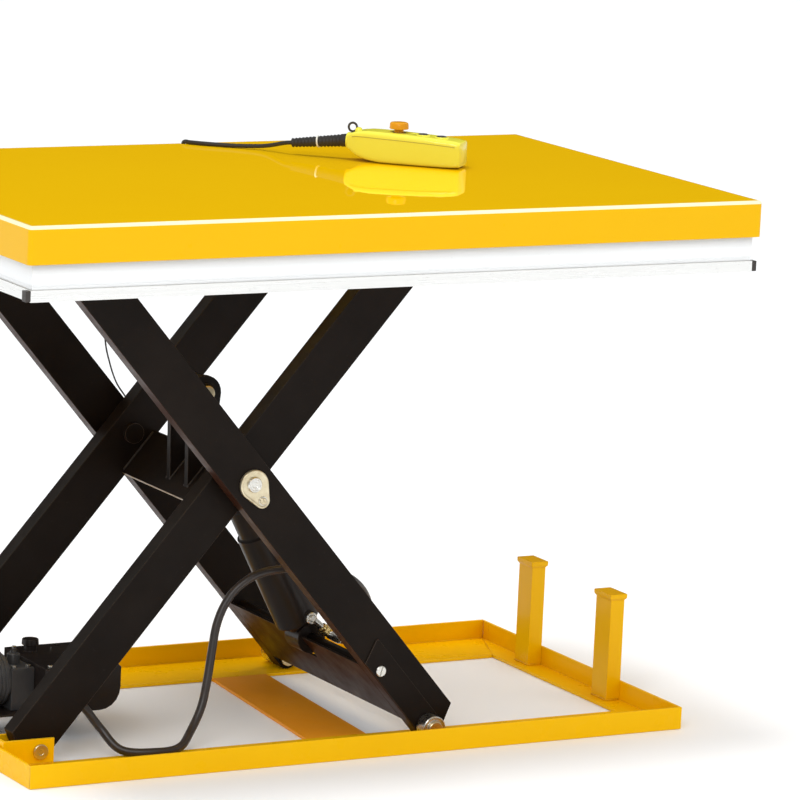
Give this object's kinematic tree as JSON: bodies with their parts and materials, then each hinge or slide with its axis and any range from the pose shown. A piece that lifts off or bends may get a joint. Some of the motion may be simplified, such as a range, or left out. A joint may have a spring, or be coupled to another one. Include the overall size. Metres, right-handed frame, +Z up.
{
  "type": "scissor lift table",
  "caption": "Stationary hydraulic scissor lift table with a flat steel platform, a safety trip skirt, crossed arms, a central cylinder, a low base frame and a hand pendant.",
  "frame": {"origin": "on the floor, under the middle of the platform", "axes": "+Z up, +X along the platform towards the end with the travelling rollers, +Y towards the back of the table"},
  "size_m": [1.3, 0.8, 0.9584],
  "materials": {
    "yellow_paint": "glossy",
    "black_paint": "satin",
    "aluminium": "satin",
    "zinc": "satin",
    "gold_zinc": "satin",
    "chrome": "polished",
    "rubber": "matte",
    "black_plastic": "matte",
    "pendant_yellow": "glossy",
    "stop_red": "glossy",
    "button_dark": "satin",
    "motor_grey": "satin",
    "bronze": "satin"
  },
  "bodies": {
    "base": {"base_front_rail": "yellow_paint", "base_rear_rail": "yellow_paint", "base_left_rail": "yellow_paint", "base_right_rail": "yellow_paint", "base_cross_plate": "yellow_paint", "deck_post_front": "yellow_paint", "deck_post_rear": "yellow_paint", "base_pivot_bracket_front": "yellow_paint", "base_pivot_bracket_rear": "yellow_paint", "base_pivot_pin_front": "zinc", "base_pivot_pin_rear": "zinc", "pump_tray": "black_paint", "pump_tank": "black_paint", "pump_valve_block": "zinc", "pump_motor": "motor_grey", "hydraulic_hose": "rubber"},
    "inner_arms": {"inner_arm_front": "black_paint", "inner_arm_rear": "black_paint", "torque_plate": "black_paint", "upper_roller_axle_front": "gold_zinc", "upper_roller_axle_rear": "gold_zinc"},
    "outer_arms": {"outer_arm_front": "black_paint", "outer_arm_rear": "black_paint", "outer_tie_plate": "black_paint", "cylinder_shaft": "zinc", "centre_pin_front": "zinc", "centre_pin_rear": "zinc", "centre_bush_front": "bronze", "centre_bush_rear": "bronze", "retaining_plate_front": "gold_zinc", "retaining_plate_rear": "gold_zinc", "lower_roller_axle_front": "gold_zinc", "lower_roller_axle_rear": "gold_zinc"},
    "cylinder_body": {"cylinder_barrel": "black_paint"},
    "cylinder_rod_body": {"cylinder_rod": "chrome", "rod_pin": "zinc"},
    "platform": {"deck": "yellow_paint", "deck_underframe": "yellow_paint", "deck_pivot_bracket_front": "yellow_paint", "deck_pivot_bracket_rear": "yellow_paint", "deck_pivot_pin_front": "zinc", "deck_pivot_pin_rear": "zinc", "safety_skirt": "aluminium", "pendant_case": "pendant_yellow", "pendant_lead": "rubber"},
    "trip_frame": {"trip_bar": "aluminium", "trip_cap_front_left": "black_plastic", "trip_cap_front_right": "black_plastic", "trip_cap_rear_left": "black_plastic", "trip_cap_rear_right": "black_plastic"},
    "up_button_body": {"up_button": "button_dark"},
    "down_button_body": {"down_button": "button_dark"},
    "stop_button_body": {"stop_button": "stop_red"},
    "roller_up_front": {"upper_roller_front": "zinc"},
    "roller_up_rear": {"upper_roller_rear": "zinc"},
    "roller_low_front": {"lower_roller_front": "zinc"},
    "roller_low_rear": {"lower_roller_rear": "zinc"}
  },
  "joints": [
    {"name": "lift", "type": "hinge", "parent": "base", "child": "inner_arms", "pos_m": [-0.51914, 0, 0.02555], "axis": [0, -1, 0], "range_deg": [-43.5, 0], "deforming": ["hydraulic_hose"]},
    {"name": "scissor", "type": "hinge", "parent": "inner_arms", "child": "outer_arms", "pos_m": [-0.1854, 0, 0.4432], "axis": [0, -1, 0], "range_deg": [0, 87.2]},
    {"name": "deck_level", "type": "hinge", "parent": "outer_arms", "child": "platform", "pos_m": [-0.51914, 0, 0.86085], "axis": [0, -1, 0], "range_deg": [-43.6, 0]},
    {"name": "trip_slide", "type": "slide", "parent": "platform", "child": "trip_frame", "axis": [0, 0, 1], "range_m": [0, 0.011], "stiffness_N_per_m": 600, "springref_m": -0.01},
    {"name": "barrel_swing", "type": "hinge", "parent": "outer_arms", "child": "cylinder_body", "pos_m": [0.05799, 0, 0.12235], "axis": [0, -1, 0], "range_deg": [-3.1, 0]},
    {"name": "rod_slide", "type": "slide", "parent": "cylinder_body", "child": "cylinder_rod_body", "axis": [-0.4618, 0, 0.887], "range_m": [-0.1455, 0]},
    {"name": "roller_spin_low_front", "type": "hinge", "parent": "outer_arms", "child": "roller_low_front", "pos_m": [0.14834, -0.277, 0.02555], "axis": [0, 1, 0], "continuous": true},
    {"name": "roller_spin_low_rear", "type": "hinge", "parent": "outer_arms", "child": "roller_low_rear", "pos_m": [0.14834, 0.277, 0.02555], "axis": [0, 1, 0], "continuous": true},
    {"name": "roller_spin_up_front", "type": "hinge", "parent": "inner_arms", "child": "roller_up_front", "pos_m": [0.14834, -0.2248, 0.86085], "axis": [0, 1, 0], "continuous": true},
    {"name": "roller_spin_up_rear", "type": "hinge", "parent": "inner_arms", "child": "roller_up_rear", "pos_m": [0.14834, 0.2248, 0.86085], "axis": [0, 1, 0], "continuous": true},
    {"name": "up_button_press", "type": "slide", "parent": "platform", "child": "up_button_body", "axis": [0, 0, -1], "range_m": [0, 0.002], "stiffness_N_per_m": 400, "springref_m": -0.001},
    {"name": "down_button_press", "type": "slide", "parent": "platform", "child": "down_button_body", "axis": [0, 0, -1], "range_m": [0, 0.002], "stiffness_N_per_m": 400, "springref_m": -0.001},
    {"name": "stop_button_press", "type": "slide", "parent": "platform", "child": "stop_button_body", "axis": [0, 0, -1], "range_m": [0, 0.004]}
  ],
  "couplings": [
    {"joint": "scissor", "follows": "lift", "ratio": -2},
    {"joint": "deck_level", "follows": "lift", "ratio": 1},
    {"joint": "barrel_swing", "follows": "lift", "ratio": 0.069866},
    {"joint": "rod_slide", "follows": "lift", "m_per_rad": 0.19103}
  ]
}
